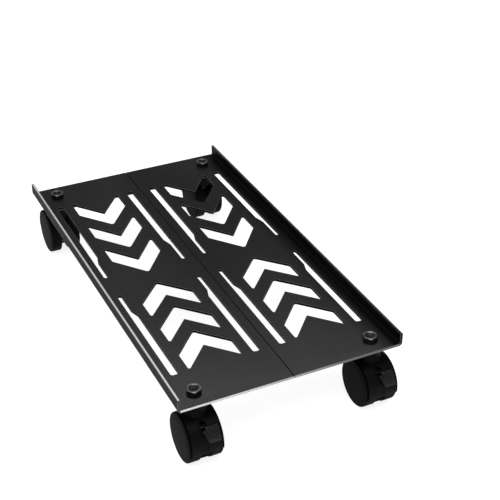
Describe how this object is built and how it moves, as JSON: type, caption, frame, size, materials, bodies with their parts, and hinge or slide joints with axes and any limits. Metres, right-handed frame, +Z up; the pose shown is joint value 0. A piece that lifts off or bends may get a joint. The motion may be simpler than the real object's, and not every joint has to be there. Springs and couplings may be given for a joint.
{
  "type": "computer tower stand",
  "caption": "Low rolling stand for a desktop computer tower: black perforated steel deck with side flanges on hooded swivel casters, the front ones with brakes.",
  "frame": {"origin": "on the floor, centred under the deck (the centre of the bounding box's base)", "axes": "+X to the right seen from the front, -Y to the front (the end with the braked casters), +Z up"},
  "size_m": [0.27, 0.5327, 0.0956],
  "materials": {
    "deck_paint": "fine-texture black powder coat, semi-matt",
    "brace_paint": "black powder coat, matt",
    "black_hardware": "black-oxide steel with brighter worn edges",
    "stem_steel": "zinc-plated steel, satin",
    "caster_plastic": "moulded black nylon, fine spark-eroded texture",
    "wheel_plastic": "moulded black nylon, satin face and scuffed tread"
  },
  "bodies": {
    "stand": {"left_deck": "deck_paint", "right_deck": "deck_paint", "front_brace": "brace_paint", "rear_brace": "brace_paint", "stem_nuts": "black_hardware", "fl_stem": "stem_steel", "fr_stem": "stem_steel", "rl_stem": "stem_steel", "rr_stem": "stem_steel"},
    "fl_swivel": {"fl_housing": "caster_plastic", "fl_axle": "stem_steel", "fl_brake_pin": "stem_steel"},
    "fl_outer_wheel": {"fl_wheel_outer": "wheel_plastic"},
    "fl_inner_wheel": {"fl_wheel_inner": "wheel_plastic"},
    "fl_pedal": {"fl_brake_pedal": "caster_plastic"},
    "fr_swivel": {"fr_housing": "caster_plastic", "fr_axle": "stem_steel", "fr_brake_pin": "stem_steel"},
    "fr_outer_wheel": {"fr_wheel_outer": "wheel_plastic"},
    "fr_inner_wheel": {"fr_wheel_inner": "wheel_plastic"},
    "fr_pedal": {"fr_brake_pedal": "caster_plastic"},
    "rl_swivel": {"rl_housing": "caster_plastic", "rl_axle": "stem_steel"},
    "rl_outer_wheel": {"rl_wheel_outer": "wheel_plastic"},
    "rl_inner_wheel": {"rl_wheel_inner": "wheel_plastic"},
    "rr_swivel": {"rr_housing": "caster_plastic", "rr_axle": "stem_steel"},
    "rr_outer_wheel": {"rr_wheel_outer": "wheel_plastic"},
    "rr_inner_wheel": {"rr_wheel_inner": "wheel_plastic"}
  },
  "joints": [
    {"name": "fl_swivel_turn", "type": "hinge", "parent": "stand", "child": "fl_swivel", "pos_m": [-0.107, -0.231, 0.058], "axis": [0, 0, 1], "continuous": true},
    {"name": "fl_outer_roll", "type": "hinge", "parent": "fl_swivel", "child": "fl_outer_wheel", "pos_m": [-0.1198, -0.235, 0.0285], "axis": [1, 0, 0], "continuous": true},
    {"name": "fl_inner_roll", "type": "hinge", "parent": "fl_swivel", "child": "fl_inner_wheel", "pos_m": [-0.0942, -0.235, 0.0285], "axis": [1, 0, 0], "continuous": true},
    {"name": "fl_brake", "type": "hinge", "parent": "fl_swivel", "child": "fl_pedal", "pos_m": [-0.10505, -0.25203, 0.0488], "axis": [-1, 0, 0], "range_deg": [0, 18]},
    {"name": "fr_swivel_turn", "type": "hinge", "parent": "stand", "child": "fr_swivel", "pos_m": [0.107, -0.231, 0.058], "axis": [0, 0, 1], "continuous": true},
    {"name": "fr_outer_roll", "type": "hinge", "parent": "fr_swivel", "child": "fr_outer_wheel", "pos_m": [0.1198, -0.235, 0.0285], "axis": [1, 0, 0], "continuous": true},
    {"name": "fr_inner_roll", "type": "hinge", "parent": "fr_swivel", "child": "fr_inner_wheel", "pos_m": [0.0942, -0.235, 0.0285], "axis": [1, 0, 0], "continuous": true},
    {"name": "fr_brake", "type": "hinge", "parent": "fr_swivel", "child": "fr_pedal", "pos_m": [0.10895, -0.25203, 0.0488], "axis": [-1, 0, 0], "range_deg": [0, 18]},
    {"name": "rl_swivel_turn", "type": "hinge", "parent": "stand", "child": "rl_swivel", "pos_m": [-0.107, 0.231, 0.058], "axis": [0, 0, 1], "continuous": true},
    {"name": "rl_outer_roll", "type": "hinge", "parent": "rl_swivel", "child": "rl_outer_wheel", "pos_m": [-0.1198, 0.235, 0.0285], "axis": [1, 0, 0], "continuous": true},
    {"name": "rl_inner_roll", "type": "hinge", "parent": "rl_swivel", "child": "rl_inner_wheel", "pos_m": [-0.0942, 0.235, 0.0285], "axis": [1, 0, 0], "continuous": true},
    {"name": "rr_swivel_turn", "type": "hinge", "parent": "stand", "child": "rr_swivel", "pos_m": [0.107, 0.231, 0.058], "axis": [0, 0, 1], "continuous": true},
    {"name": "rr_outer_roll", "type": "hinge", "parent": "rr_swivel", "child": "rr_outer_wheel", "pos_m": [0.1198, 0.235, 0.0285], "axis": [1, 0, 0], "continuous": true},
    {"name": "rr_inner_roll", "type": "hinge", "parent": "rr_swivel", "child": "rr_inner_wheel", "pos_m": [0.0942, 0.235, 0.0285], "axis": [1, 0, 0], "continuous": true}
  ]
}
